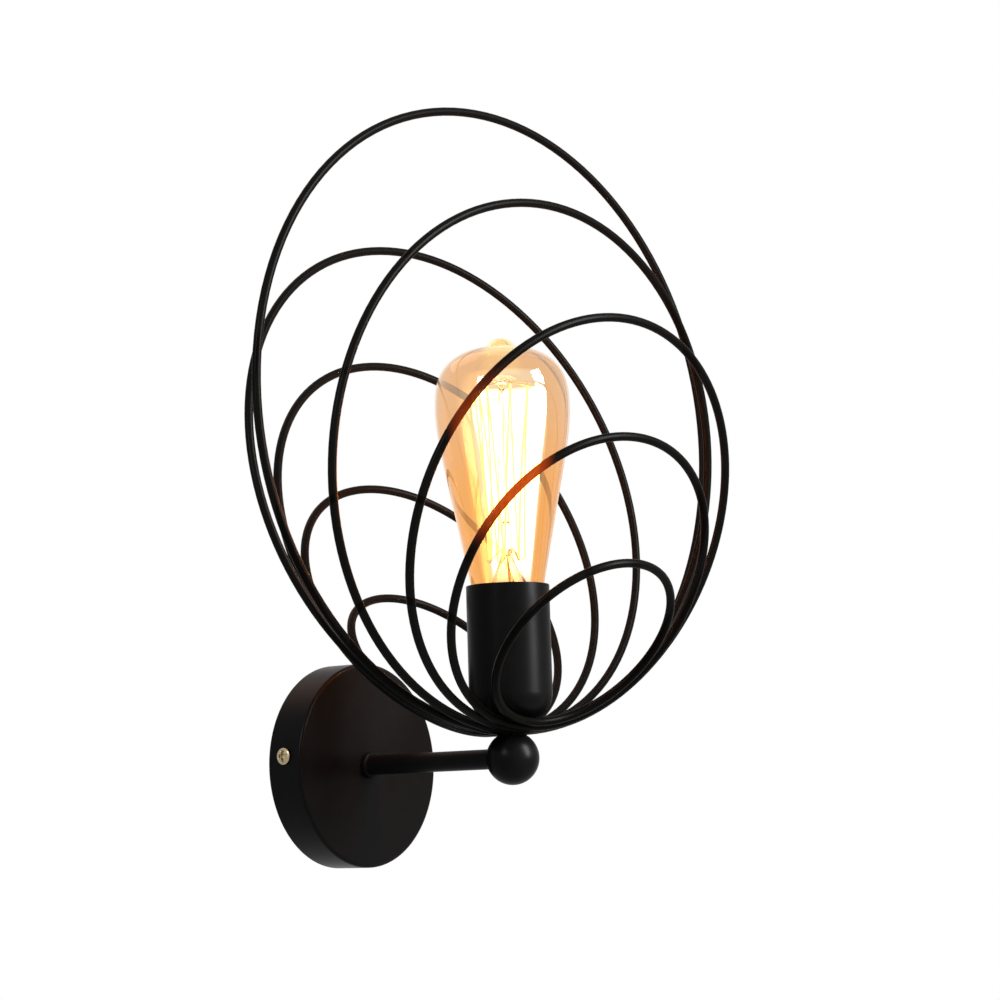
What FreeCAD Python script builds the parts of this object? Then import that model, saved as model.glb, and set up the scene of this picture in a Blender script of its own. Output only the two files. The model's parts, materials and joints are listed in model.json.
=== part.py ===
import FreeCAD, Part
import math
import os

# Wall sconce: a round wall canopy, a straight arm, a ball and a cage of nine wire rings round one bulb.
# Frame: the wall is the plane Y = 0 and the room lies towards -Y. Z is up. Lengths in mm, angles in degrees.
# The origin is the centre of the wall bracket, on the wall.

# Shared clearances
seat_gap = 0.05          # between fixed pieces that sit in each other
turn_gap = 0.1           # between pieces that turn or slide past each other
free_gap = 0.3           # between a curved face and the moving piece beside it
overrun = 1.0            # how far a cutter reaches past what it cuts

# Canopy, a spun steel cup that stands open side to the wall
canopy_radius = 49.5
canopy_depth = 20.0
canopy_wall = 1.2
canopy_edge_radius = 1.5
canopy_screw_depth = 10.0
canopy_screw_rise = 4.6   # side screws above the arm's line
canopy_screw_hole_radius = 2.4

# Canopy side screws
side_shank_radius = 2.0
side_shank_length = 10.0
side_head_radius = 4.0
side_head_height = 2.4
side_recess_radius = 1.4
side_recess_depth = 1.5

# Wall bracket, a flat steel strap with two bent ears
bracket_width = 20.0
bracket_thickness = 2.0
bracket_side_gap = 2.0
bracket_bend_radius = 3.0
ear_depth = 15.0
ear_width = 18.0
slot_spacing = 60.0
slot_width = 5.0
slot_length = 14.0
cable_hole_radius = 7.0

# Earth screw on the bracket
earth_screw_offset = 15.5
earth_screw_radius = 2.0
earth_head_radius = 3.6
earth_head_height = 2.4
earth_slot_width = 0.9
earth_slot_depth = 1.1
earth_washer_radius = 5.6
earth_washer_thickness = 0.9

# Arm, a straight tube with threaded ends
arm_reach = 89.0         # canopy face to the lamp's axis
arm_radius = 4.75
arm_wall = 1.0
arm_tail = 8.0           # how far the tube reaches into the canopy
arm_stop = 6.5           # tube end to the ball's centre
arm_collar_radius = 6.3
arm_collar_length = 2.6
arm_collar_edge = 0.7
arm_tag_radius = 8.0
arm_tag_thickness = 0.8
arm_tag_width = 5.0
arm_tag_reach = 14.0
arm_washer_radius = 8.5
arm_washer_thickness = 1.0
arm_nut_flats = 14.0
arm_nut_height = 3.5

# Ball that turns the arm's line upwards
ball_radius = 12.5
ball_hollow_radius = 4.6

# Hollow nipple that carries the cage and the lampholder
nipple_radius = 4.0
nipple_bore_radius = 2.9
nipple_depth = 5.2       # nipple's foot above the ball's centre
nipple_top_spare = 2.0   # how far it stands past its nut

# Cage hub, a turned collar on the ball's flat
hub_radius = 7.25
hub_height = 5.2
hub_edge = 0.4
spacer_radius = 4.7
spacer_height = 2.3

# Cage of round steel wire. Each row: name, diameter over the wire, lean towards the room,
# turn about the upright axis, and its lowest point's seat, sideways and up, as shares of the spacing.
wire_diameter = 4.0
ring_spacing = 4.1
ring_rise = 12.5         # lowest point of the wires' centres above the ball's centre
wire_cope_share = 0.5    # of the wire's half thickness, where its thin coped edge is cut off flat
cage_turn = -7.3
largest_ring = 300.0
second_ring = 250.0
third_ring = 200.0
fourth_ring = 150.0
smallest_ring = 98.0
ring_seat_shares = [
    ("ring_centre", largest_ring, -1.2, 0.8, 0.0, 0.0),
    ("ring_front_1", second_ring, 7.1, 0.2, -1.0, 0.0),
    ("ring_rear_1", second_ring, -14.1, 0.0, 1.22, 0.1),
    ("ring_front_2", third_ring, 21.8, 0.1, -2.2, 0.15),
    ("ring_rear_2", third_ring, -20.6, 0.0, 2.3, 0.0),
    ("ring_front_3", fourth_ring, 30.2, -2.2, -3.2, 0.35),
    ("ring_rear_3", fourth_ring, -31.9, -1.3, 3.3, 0.0),
    ("ring_front_4", smallest_ring, 43.9, -0.9, -4.05, 0.85),
    ("ring_rear_4", smallest_ring, -42.9, 0.0, 4.3, 0.0),
]

# Lampholder cup and what clamps it
cup_radius = 19.6
cup_height = 63.0
cup_wall = 1.0
cup_corner_radius = 12.0
cup_lip_radius = 0.45
cup_washer_radius = 6.8
cup_washer_thickness = 1.0
cup_nut_flats = 12.0
cup_nut_height = 3.0

# Bridge that carries the insulator
bridge_width = 9.0
bridge_thickness = 1.2
bridge_arm_offset = 7.4
bridge_tab_reach = 14.0

# Insulator, a glazed porcelain pot
insulator_side_gap = 0.6
insulator_base_drop = 37.8     # underside below the cup's rim
insulator_base_height = 7.0
insulator_skirt_wall = 3.0
insulator_top_drop = 6.8       # its rim below the cup's rim
terminal_offset = 9.0
terminal_hole_radius = 1.3
terminal_depth = 5.0
terminal_screw_radius = 1.4
terminal_screw_rise = 3.6
terminal_head_recess = 2.0
fixing_offset = 10.4
fixing_radius = 1.4
fixing_head_radius = 2.2
fixing_head_height = 1.6
fixing_tail = 3.0

# Threaded contact shell and centre tongue
shell_bore_radius = 13.4
shell_wall = 0.35
shell_ridge = 0.3
shell_lip = 0.5
shell_base_gap = 0.1
shell_top_drop = 7.6
thread_pitch = 3.6
shell_turns = 5
tongue_width = 5.0
tongue_thickness = 0.5
tongue_foot_length = 6.0
tongue_tip_radius = 3.0
tongue_contact_gap = 0.1

# Screw cap of the bulb
cap_foot_drop = 27.0           # foot contact below the cup's rim
cap_foot_radius = 4.7
cap_foot_height = 1.3
cap_foot_edge = 0.6
cap_glass_top_radius = 10.6
cap_glass_bottom_radius = 5.4
cap_glass_height = 3.2
cap_radius = 13.2
cap_root_depth = 0.85
cap_wall = 0.3
cap_turns = 4
cap_neck_height = 2.6
cap_plug_depth = 1.7

# Bulb glass: height above the cup's rim and radius of its outer face, from the neck to the tip
glass_wall = 0.8
glass_rim_radius = 17.2
glass_waist_height = 34.0
glass_waist_radius = 23.9
glass_swell_height = 62.0
glass_swell_radius = 29.5
glass_belly_height = 87.0
glass_belly_radius = 32.0
glass_shoulder_share = 0.63    # of the way from the belly up to the crown
glass_shoulder_radius = 27.9
glass_crown_height = 112.2
glass_crown_radius = 12.8
glass_crown_slope = 10.0
glass_pip_radius = 7.3
glass_pip_foot_rise = 0.8      # pip's foot above the crown's inner edge
glass_pip_length = 5.0
glass_pip_lean_share = 0.3

# Glass stem, filament and its wires: heights above the cup's rim, drops below the crown
stem_rim_height = 0.9
stem_flare_height = 8.5
stem_tube_radius = 3.0
stem_press_height = 15.0
stem_rod_radius = 1.2
stem_top_drop = 11.2           # button's centre below the glass crown
stem_button_radius = 2.2
support_radius = 0.3
filament_radius = 0.35
filament_low_height = 10.0
filament_high_drop = 15.2      # upper hooks below the glass crown
filament_low_radius = 9.0
filament_high_radius = 16.0
filament_hooks = 7
lead_in_radius = 0.45

# Leads and the terminal block in the canopy
lead_diameter = 2.0
lead_offset = 1.35
lead_bend_radius = 3.0
block_width = 18.0
block_height = 14.0
block_depth = 11.0
block_bottom = 12.5
block_back_gap = 2.6
block_edge_radius = 1.0
block_pole_offset = 4.5
block_bore_radius = 1.5
block_screw_radius = 1.7
block_screw_share = 0.27
lead_tuck = 6.0

# Places that follow from the sizes above
axis_y = -(canopy_depth + arm_reach)
canopy_face_back = -(canopy_depth - canopy_wall)
ball_flat = math.sqrt(ball_radius**2 - hub_radius**2)
hub_bottom = ball_flat + turn_gap
hub_top = hub_bottom + hub_height
cup_bottom = hub_top + spacer_height
cup_rim = cup_bottom + cup_height
cup_floor = cup_bottom + cup_wall
bridge_floor = cup_floor + cup_washer_thickness
cup_nut_bottom = bridge_floor + bridge_thickness
nipple_top = cup_nut_bottom + cup_nut_height + nipple_top_spare
insulator_bottom = cup_rim - insulator_base_drop
insulator_floor = insulator_bottom + insulator_base_height
insulator_top = cup_rim - insulator_top_drop
insulator_radius = cup_radius - cup_wall - insulator_side_gap
shell_bottom = insulator_floor + shell_base_gap
shell_top = cup_rim - shell_top_drop
foot_bottom = cup_rim - cap_foot_drop
foot_top = foot_bottom + cap_foot_height
cap_bottom = foot_top + cap_glass_height
cap_top = cap_bottom + cap_turns * thread_pitch + cap_neck_height
arm_tail_y = canopy_face_back + arm_tail
arm_head_y = axis_y + arm_stop
ear_face = canopy_radius - canopy_wall - bracket_side_gap
glass_foot = cap_top - cap_plug_depth
glass_neck_radius = cap_radius - cap_wall - seat_gap
glass_shoulder_height = glass_belly_height + glass_shoulder_share * (glass_crown_height - glass_belly_height)
glass_pip_base = glass_crown_height + glass_pip_foot_rise
glass_pip_height = glass_pip_base + glass_pip_length
stem_top_height = glass_crown_height - stem_top_drop
filament_high_height = glass_crown_height - filament_high_drop

X_AXIS = FreeCAD.Vector(1, 0, 0)
Y_AXIS = FreeCAD.Vector(0, 1, 0)
Z_AXIS = FreeCAD.Vector(0, 0, 1)
parts = {}


def vec(x, y, z):
    return FreeCAD.Vector(x, y, z)


def rod(radius, start, end):
    """A round bar from start to end."""
    run = end - start
    return Part.makeCylinder(radius, run.Length, start, run)


def pipe(outer, inner, start, end):
    """A bar with a bore."""
    return rod(outer, start, end).cut(rod(inner, start, end))


def bored(solid, radius, start, end):
    """The solid with a round hole from start to end, run a little past both."""
    spare = (end - start).normalize() * overrun
    return solid.cut(rod(radius, start - spare, end + spare))


def box(low, high):
    size = high - low
    return Part.makeBox(size.x, size.y, size.z, low)


def turned(points):
    """A solid of revolution about Z, from the corners of its outline."""
    outline = Part.makePolygon(points + [points[0]])
    return Part.Face(outline).revolve(vec(0, 0, 0), Z_AXIS, 360)


def turned_edges(edges):
    """A solid of revolution about Z from a closed outline of lines and curves."""
    return Part.Face(Part.Wire(Part.__sortEdges__(edges))).revolve(vec(0, 0, 0), Z_AXIS, 360)


def circles(solid):
    """The round edges of a solid."""
    return [e for e in solid.Edges if e.Curve.TypeId == "Part::GeomCircle"]


def line(a, b):
    return Part.LineSegment(a, b).toShape()


def curve(points, start, end):
    """A smooth curve through points, with its directions at both ends."""
    spline = Part.BSplineCurve()
    spline.interpolate(Points=points, InitialTangent=start, FinalTangent=end)
    return spline.toShape()


def hexagon(flats, height, start, direction):
    """A hexagonal bar, its size given across the flats."""
    corner = flats / math.sqrt(3)
    points = [vec(corner * math.cos(math.radians(60 * k)), corner * math.sin(math.radians(60 * k)), 0)
              for k in range(7)]
    bar = Part.Face(Part.makePolygon(points)).extrude(vec(0, 0, height))
    bar.Placement = FreeCAD.Placement(start, FreeCAD.Rotation(Z_AXIS, direction))
    return bar


def nut(flats, height, bore, start, direction):
    """A hexagon nut with its corners turned down."""
    end = start + direction * height
    corner = flats / math.sqrt(3)
    edge = corner - flats / 2
    blank = rod(corner, start, end)
    blank = blank.makeChamfer(edge, circles(blank))
    return bored(hexagon(flats, height, start, direction).common(blank), bore, start, end)


def lead(points, diameter, bend):
    """An insulated wire: straight runs between the points, joined by tangent arcs."""
    edges = []
    last = points[0]
    for before, corner, after in zip(points, points[1:], points[2:]):
        back = (before - corner).normalize()
        on = (after - corner).normalize()
        half = back.getAngle(on) / 2
        reach = bend / math.tan(half)
        start = corner + back * reach
        end = corner + on * reach
        centre = corner + (back + on).normalize() * (bend / math.sin(half))
        middle = centre + (corner - centre).normalize() * bend
        edges.append(line(last, start))
        edges.append(Part.Arc(start, middle, end).toShape())
        last = end
    edges.append(line(last, points[-1]))
    path = Part.Wire(edges)
    section = Part.Wire(Part.makeCircle(diameter / 2, points[0], points[1] - points[0]))
    shell = Part.BRepOffsetAPI.MakePipeShell(path)
    shell.add(section)
    shell.build()
    shell.makeSolid()
    return shell.shape()


def on_axis(solid):
    """Moves a piece from the upright axis of the lamp to its place before the wall."""
    return solid.translated(vec(0, axis_y, 0))


def in_cage(solid):
    """Turns a piece of the cage by the cage's set, and puts it on the lamp's axis."""
    return on_axis(solid.rotated(vec(0, 0, 0), Z_AXIS, cage_turn))


def ridged(outer, low, turns, depth):
    """Points up the side of a tube with plain thread ridges: root, crest, root, each half a pitch on."""
    points = []
    for k in range(2 * turns + 1):
        radius = outer - depth if k % 2 == 0 else outer
        points.append(vec(radius, 0, low + k * thread_pitch / 2))
    return points


# Wall bracket
def make_bracket():
    low_z = -bracket_width / 2
    outer = box(vec(-ear_face, -ear_depth, low_z), vec(ear_face, 0, -low_z))
    inner = box(vec(-ear_face + bracket_thickness, -ear_depth - overrun, low_z - overrun),
                vec(ear_face - bracket_thickness, -bracket_thickness, -low_z + overrun))
    strap = outer.cut(inner)
    bends = [e for e in strap.Edges
             if e.BoundBox.ZLength > ear_width and abs(e.CenterOfMass.y) < bracket_thickness / 2]
    strap = strap.makeFillet(bracket_bend_radius, bends)
    for side in (-1, 1):
        for edge in (-1, 1):
            trim_low = vec(min(side * ear_face, 0) - overrun, -ear_depth - overrun, 0)
            trim_high = vec(max(side * ear_face, 0) + overrun, -bracket_thickness - bracket_bend_radius, 0)
            trim_low.z = min(edge * ear_width / 2, edge * bracket_width)
            trim_high.z = max(edge * ear_width / 2, edge * bracket_width)
            strap = strap.cut(box(trim_low, trim_high))
        strap = strap.cut(slot(side * slot_spacing / 2))
        strap = bored(strap, side_shank_radius + turn_gap / 2,
                      vec(side * (ear_face - bracket_thickness), -canopy_screw_depth, canopy_screw_rise),
                      vec(side * ear_face, -canopy_screw_depth, canopy_screw_rise))
    strap = bored(strap, cable_hole_radius, vec(0, -bracket_thickness, 0), vec(0, 0, 0))
    return bored(strap, earth_screw_radius + seat_gap, vec(earth_screw_offset, -bracket_thickness, 0),
                 vec(earth_screw_offset, 0, 0))


def slot(middle):
    """The cutter of one slot along X, round at both ends."""
    half = (slot_length - slot_width) / 2
    radius = slot_width / 2
    deep = -bracket_thickness - overrun
    cutter = box(vec(middle - half, deep, -radius), vec(middle + half, overrun, radius))
    for end in (-half, half):
        cutter = cutter.fuse(rod(radius, vec(middle + end, deep, 0), vec(middle + end, overrun, 0)))
    return cutter


def make_earth_screw():
    top = -(bracket_thickness + lead_diameter + earth_washer_thickness)
    start = vec(earth_screw_offset, top, 0)
    shank = rod(earth_screw_radius, start, vec(earth_screw_offset, -bracket_thickness / 2, 0))
    head = rod(earth_head_radius, start, start - Y_AXIS * earth_head_height)
    rim = [e for e in circles(head) if e.CenterOfMass.y < top - earth_head_height / 2]
    head = head.makeFillet(earth_head_height / 2, rim)
    cut_y = top - earth_head_height
    cross = box(vec(earth_screw_offset - earth_head_radius, cut_y - overrun, -earth_slot_width / 2),
                vec(earth_screw_offset + earth_head_radius, cut_y + earth_slot_depth, earth_slot_width / 2))
    return shank.fuse(head).cut(cross)


def make_earth_washer():
    back = -(bracket_thickness + lead_diameter)
    return pipe(earth_washer_radius, earth_screw_radius + seat_gap, vec(earth_screw_offset, back, 0),
                vec(earth_screw_offset, back - earth_washer_thickness, 0))


# Canopy
def make_canopy():
    outer = rod(canopy_radius, vec(0, 0, 0), vec(0, -canopy_depth, 0))
    front = [e for e in circles(outer) if e.CenterOfMass.y < canopy_face_back]
    outer = outer.makeFillet(canopy_edge_radius, front)
    inner = rod(canopy_radius - canopy_wall, vec(0, overrun, 0), vec(0, canopy_face_back, 0))
    back = [e for e in circles(inner) if e.CenterOfMass.y < 0]
    inner = inner.makeFillet(canopy_edge_radius - canopy_wall / 2, back)
    cup = outer.cut(inner)
    cup = bored(cup, arm_radius + seat_gap, vec(0, -canopy_depth, 0), vec(0, canopy_face_back, 0))
    for side in (-1, 1):
        cup = bored(cup, canopy_screw_hole_radius,
                    vec(side * (canopy_radius - 2 * canopy_wall), -canopy_screw_depth, canopy_screw_rise),
                    vec(side * canopy_radius, -canopy_screw_depth, canopy_screw_rise))
    return cup


def make_side_screw(side):
    """A button-head screw that comes in from the canopy's side, with a six-sided recess."""
    seat = vec(side * (canopy_radius + free_gap), -canopy_screw_depth, canopy_screw_rise)
    out = X_AXIS * side
    shank = rod(side_shank_radius, seat, seat - out * side_shank_length)
    dome_radius = (side_head_radius**2 + side_head_height**2) / (2 * side_head_height)
    dome = Part.makeSphere(dome_radius, seat + out * (side_head_height - dome_radius))
    head = dome.common(rod(side_head_radius, seat, seat + out * side_head_height))
    recess_start = seat + out * (side_head_height - side_recess_depth)
    recess = hexagon(2 * side_recess_radius, side_recess_depth + overrun, recess_start, out)
    return shank.fuse(head).cut(recess)


# Arm
def make_arm_tube():
    return pipe(arm_radius, arm_radius - arm_wall, vec(0, arm_tail_y, 0), vec(0, arm_head_y, 0))


def make_arm_collar():
    start = vec(0, -canopy_depth, 0)
    end = start - Y_AXIS * arm_collar_length
    collar = rod(arm_collar_radius, start, end)
    rim = [e for e in circles(collar) if e.CenterOfMass.y < start.y]
    return bored(collar.makeFillet(arm_collar_edge, rim), arm_radius + seat_gap, start, end)


def make_arm_tag():
    start = vec(0, canopy_face_back, 0)
    end = start + Y_AXIS * arm_tag_thickness
    tail = box(vec(0, start.y, -arm_tag_width / 2), vec(arm_tag_reach, end.y, arm_tag_width / 2))
    return bored(rod(arm_tag_radius, start, end).fuse(tail), arm_radius + seat_gap, start, end)


def make_arm_washer():
    start = vec(0, canopy_face_back + arm_tag_thickness, 0)
    return pipe(arm_washer_radius, arm_radius + seat_gap, start, start + Y_AXIS * arm_washer_thickness)


def make_arm_nut():
    start = vec(0, canopy_face_back + arm_tag_thickness + arm_washer_thickness, 0)
    return nut(arm_nut_flats, arm_nut_height, arm_radius + seat_gap, start, Y_AXIS)


def make_ball():
    ball = Part.makeSphere(ball_radius)
    flat = box(vec(-ball_radius, -ball_radius, ball_flat), vec(ball_radius, ball_radius, ball_radius))
    ball = ball.cut(flat)
    ball = ball.cut(Part.makeSphere(ball_hollow_radius))
    socket = rod(arm_radius + seat_gap, vec(0, arm_stop - seat_gap, 0), vec(0, ball_radius + overrun, 0))
    ball = ball.cut(socket)
    ball = ball.cut(rod(arm_radius - arm_wall, vec(0, 0, 0), vec(0, arm_stop, 0)))
    ball = ball.cut(rod(nipple_bore_radius, vec(0, 0, 0), vec(0, 0, nipple_depth)))
    bearing = rod(nipple_radius + turn_gap / 2, vec(0, 0, nipple_depth - turn_gap), vec(0, 0, ball_radius))
    return ball.cut(bearing)


# Hub and cage
def make_nipple():
    return pipe(nipple_radius, nipple_bore_radius, vec(0, 0, nipple_depth), vec(0, 0, nipple_top))


def make_hub():
    start = vec(0, 0, hub_bottom)
    end = vec(0, 0, hub_top)
    hub = rod(hub_radius, start, end)
    hub = hub.makeChamfer(hub_edge, circles(hub))
    return bored(hub, nipple_radius + seat_gap, start, end)


def make_spacer():
    return pipe(spacer_radius, nipple_radius + seat_gap, vec(0, 0, hub_top), vec(0, 0, cup_bottom))


def make_ring(diameter, lean, turn, seat_out, seat_up):
    """One hoop of wire. It stands on its lowest point, leans about it and is coped where it meets the hub."""
    radius = (diameter - wire_diameter) / 2
    hoop = Part.makeTorus(radius, wire_diameter / 2, vec(0, 0, radius), Y_AXIS)
    hoop.rotate(vec(0, 0, 0), X_AXIS, lean)
    hoop.rotate(vec(0, 0, 0), Z_AXIS, turn)
    hoop.translate(vec(0, seat_out * ring_spacing, ring_rise + seat_up * ring_spacing))
    hoop = hoop.cut(rod(hub_radius, vec(0, 0, hub_bottom), vec(0, 0, hub_top)))
    blunt = abs(seat_out) * ring_spacing + wire_cope_share * wire_diameter / 2
    if blunt < hub_radius:
        half = math.sqrt(hub_radius**2 - blunt**2)
        past = hub_radius + wire_diameter
        hoop = hoop.cut(box(vec(-half, -past, hub_bottom), vec(half, past, hub_top)))
    return hoop


# Lampholder
def make_cup():
    """A deep-drawn cup with a round bottom corner and a rolled lip, turned about its axis."""
    def skin(radius, corner, low):
        middle = vec(radius - corner, 0, low + corner)
        share = math.sqrt(0.5)
        return [
            line(vec(nipple_radius + seat_gap, 0, low), vec(radius - corner, 0, low)),
            Part.Arc(vec(radius - corner, 0, low), middle + vec(corner * share, 0, -corner * share),
                     vec(radius, 0, low + corner)).toShape(),
            line(vec(radius, 0, low + corner), vec(radius, 0, cup_rim)),
        ]
    edges = skin(cup_radius, cup_corner_radius, cup_bottom)
    edges += skin(cup_radius - cup_wall, cup_corner_radius - cup_wall, cup_floor)
    hole = nipple_radius + seat_gap
    edges.append(line(vec(hole, 0, cup_bottom), vec(hole, 0, cup_floor)))
    edges.append(line(vec(cup_radius - cup_wall, 0, cup_rim), vec(cup_radius, 0, cup_rim)))
    cup = turned_edges(edges)
    lip = [e for e in circles(cup) if e.CenterOfMass.z > cup_rim - cup_wall]
    return cup.makeFillet(cup_lip_radius, lip)


def make_cup_washer():
    return pipe(cup_washer_radius, nipple_radius + seat_gap, vec(0, 0, cup_floor), vec(0, 0, bridge_floor))


def make_cup_nut():
    return nut(cup_nut_flats, cup_nut_height, nipple_radius + seat_gap, vec(0, 0, cup_nut_bottom), Z_AXIS)


def make_bridge():
    """A strap bent into a channel on the cup's floor, with two tabs under the insulator."""
    half = bridge_width / 2
    tab_low = insulator_bottom - bridge_thickness
    strap = box(vec(-half, -bridge_arm_offset, bridge_floor), vec(half, bridge_arm_offset, cup_nut_bottom))
    for side in (-1, 1):
        wall = sorted((side * bridge_arm_offset, side * (bridge_arm_offset - bridge_thickness)))
        tab = sorted((side * bridge_arm_offset, side * bridge_tab_reach))
        strap = strap.fuse(box(vec(-half, wall[0], bridge_floor), vec(half, wall[1], insulator_bottom)))
        strap = strap.fuse(box(vec(-half, tab[0], tab_low), vec(half, tab[1], insulator_bottom)))
        strap = bored(strap, fixing_radius + seat_gap, vec(0, side * fixing_offset, tab_low),
                      vec(0, side * fixing_offset, insulator_bottom))
    strap = bored(strap, nipple_radius + seat_gap, vec(0, 0, bridge_floor), vec(0, 0, cup_nut_bottom))
    return strap.removeSplitter()


def make_insulator():
    pot = rod(insulator_radius, vec(0, 0, insulator_bottom), vec(0, 0, insulator_top))
    well = insulator_radius - insulator_skirt_wall
    pot = pot.cut(rod(well, vec(0, 0, insulator_floor), vec(0, 0, insulator_top + overrun)))
    screw_z = insulator_bottom + terminal_screw_rise
    for side in (-1, 1):
        pot = bored(pot, fixing_radius + seat_gap, vec(0, side * fixing_offset, insulator_bottom),
                    vec(0, side * fixing_offset, insulator_floor))
        pot = pot.cut(rod(terminal_hole_radius, vec(side * terminal_offset, 0, insulator_bottom - overrun),
                          vec(side * terminal_offset, 0, insulator_bottom + terminal_depth)))
        pot = pot.cut(rod(terminal_screw_radius + seat_gap,
                          vec(side * terminal_offset, -insulator_radius, screw_z),
                          vec(side * terminal_offset, 0, screw_z)))
    return pot


def make_terminal_screws():
    """Two short set screws that press the leads' ends in the insulator."""
    screw_z = insulator_bottom + terminal_screw_rise
    mouth = -math.sqrt(insulator_radius**2 - terminal_offset**2) + terminal_head_recess
    return [rod(terminal_screw_radius, vec(side * terminal_offset, mouth, screw_z),
                vec(side * terminal_offset, -terminal_hole_radius, screw_z)) for side in (-1, 1)]


def make_fixing_screws():
    screws = []
    for side in (-1, 1):
        top = vec(0, side * fixing_offset, insulator_floor)
        end = vec(0, side * fixing_offset, insulator_bottom - bridge_thickness - fixing_tail)
        head = rod(fixing_head_radius, top, top + Z_AXIS * fixing_head_height)
        screws.append(rod(fixing_radius, end, top).fuse(head))
    return screws


def make_contact_shell():
    """A thin threaded sleeve. The thread is drawn as plain ridges that stand outwards."""
    outer = shell_bore_radius + shell_wall
    start = shell_bottom + shell_wall
    inner_side = ridged(shell_bore_radius + shell_ridge, start, shell_turns, shell_ridge)
    outer_side = [p + vec(shell_wall, 0, 0) for p in inner_side]
    base = vec(outer, 0, shell_bottom)
    lip = [vec(shell_bore_radius - shell_lip, 0, shell_bottom), vec(shell_bore_radius - shell_lip, 0, start)]
    rims = [vec(shell_bore_radius, 0, shell_top), vec(outer, 0, shell_top)]
    return turned(lip + inner_side + rims + outer_side[::-1] + [base])


def make_tongue():
    """A springy brass strip: a foot on the insulator, a rise and a tip under the bulb's foot contact."""
    tip_top = foot_bottom - tongue_contact_gap
    tip_low = tip_top - tongue_thickness
    reach = shell_bore_radius - shell_lip - overrun
    foot_end = -reach + tongue_foot_length
    low = insulator_floor
    points = [vec(-reach, 0, low), vec(foot_end, 0, low), vec(-tongue_tip_radius, 0, tip_low),
              vec(tongue_tip_radius, 0, tip_low), vec(tongue_tip_radius, 0, tip_top),
              vec(-tongue_tip_radius, 0, tip_top), vec(foot_end, 0, low + tongue_thickness),
              vec(-reach, 0, low + tongue_thickness)]
    strip = Part.Face(Part.makePolygon(points + [points[0]])).extrude(Y_AXIS * tongue_width)
    return strip.translated(vec(0, -tongue_width / 2, 0))


# Bulb
def make_foot_contact():
    disc = rod(cap_foot_radius, vec(0, 0, foot_bottom), vec(0, 0, foot_top))
    low = [e for e in circles(disc) if e.CenterOfMass.z < foot_bottom + cap_foot_edge]
    return disc.makeFillet(cap_foot_edge, low)


def make_cap_insulator():
    """The black glass cone between the foot contact and the threaded cap."""
    return turned([vec(0, 0, foot_top), vec(cap_glass_bottom_radius, 0, foot_top),
                   vec(cap_glass_top_radius, 0, cap_bottom), vec(0, 0, cap_bottom)])


def make_cap():
    """A thin drawn cap with plain thread ridges, a closed shoulder below and an open neck above."""
    outer_side = ridged(cap_radius, cap_bottom, cap_turns, cap_root_depth)
    inner_side = [p - vec(cap_wall, 0, 0) for p in outer_side]
    inner_side[0] = inner_side[0] + vec(0, 0, cap_wall)
    neck_low = cap_bottom + cap_turns * thread_pitch + cap_root_depth
    neck = [vec(cap_radius, 0, neck_low), vec(cap_radius, 0, cap_top)]
    neck_inner = [p - vec(cap_wall, 0, 0) for p in reversed(neck)]
    floor_radius = cap_glass_top_radius - cap_wall
    floor = [vec(floor_radius, 0, cap_bottom + cap_wall), vec(floor_radius, 0, cap_bottom)]
    return turned(outer_side + neck + neck_inner + inner_side[::-1] + floor)


def glass_side(inset):
    """Points and end directions of the bulb's wall, moved inwards by inset."""
    points = [vec(glass_rim_radius - inset, 0, cup_rim),
              vec(glass_waist_radius - inset, 0, cup_rim + glass_waist_height),
              vec(glass_swell_radius - inset, 0, cup_rim + glass_swell_height),
              vec(glass_belly_radius - inset, 0, cup_rim + glass_belly_height),
              vec(glass_shoulder_radius - inset, 0, cup_rim + glass_shoulder_height - inset / 2),
              vec(glass_crown_radius, 0, cup_rim + glass_crown_height - inset)]
    rise = vec(glass_waist_radius - glass_rim_radius, 0, glass_waist_height).normalize()
    fall = vec(-1, 0, math.tan(math.radians(glass_crown_slope))).normalize()
    return points, rise, fall


def glass_outline(inset):
    """The bulb's closed half outline: neck, shoulder of the neck, wall, crown and the sealed pip."""
    points, rise, fall = glass_side(inset)
    neck_radius = glass_neck_radius - inset
    neck = vec(neck_radius, 0, glass_foot)
    neck_top = neck + vec(0, 0, cap_plug_depth)
    pip_foot = vec(glass_pip_radius - inset, 0, cup_rim + glass_pip_base - inset)
    pip_top = vec(0, 0, cup_rim + glass_pip_height - inset)
    bottom = vec(0, 0, neck.z)
    return [
        line(bottom, neck),
        line(neck, neck_top),
        curve([neck_top, points[0]], Z_AXIS, rise),
        curve(points, rise, fall),
        line(points[-1], pip_foot),
        curve([pip_foot, pip_top], vec(-glass_pip_lean_share, 0, 1).normalize(), vec(-1, 0, 0)),
        line(pip_top, bottom),
    ]


def make_glass():
    """The blown envelope: closed above, open where its neck stands in the cap."""
    outer = turned_edges(glass_outline(0))
    inner = turned_edges(glass_outline(glass_wall))
    mouth = rod(glass_neck_radius - glass_wall, vec(0, 0, glass_foot - overrun),
                vec(0, 0, glass_foot + overrun))
    return outer.cut(inner).cut(mouth)


def make_stem():
    """The flared glass foot, its pressed top, and the thin rod with a button that holds the hooks."""
    flare_radius = glass_neck_radius - glass_wall - seat_gap
    press = cup_rim + stem_press_height
    top = cup_rim + stem_top_height
    stem = turned([vec(0, 0, glass_foot), vec(flare_radius, 0, glass_foot),
                   vec(flare_radius, 0, glass_foot + stem_rim_height),
                   vec(stem_tube_radius, 0, glass_foot + stem_flare_height),
                   vec(stem_tube_radius, 0, press - stem_tube_radius), vec(stem_rod_radius, 0, press),
                   vec(stem_rod_radius, 0, top), vec(0, 0, top)])
    return stem.fuse(Part.makeSphere(stem_button_radius, vec(0, 0, top)))


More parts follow.
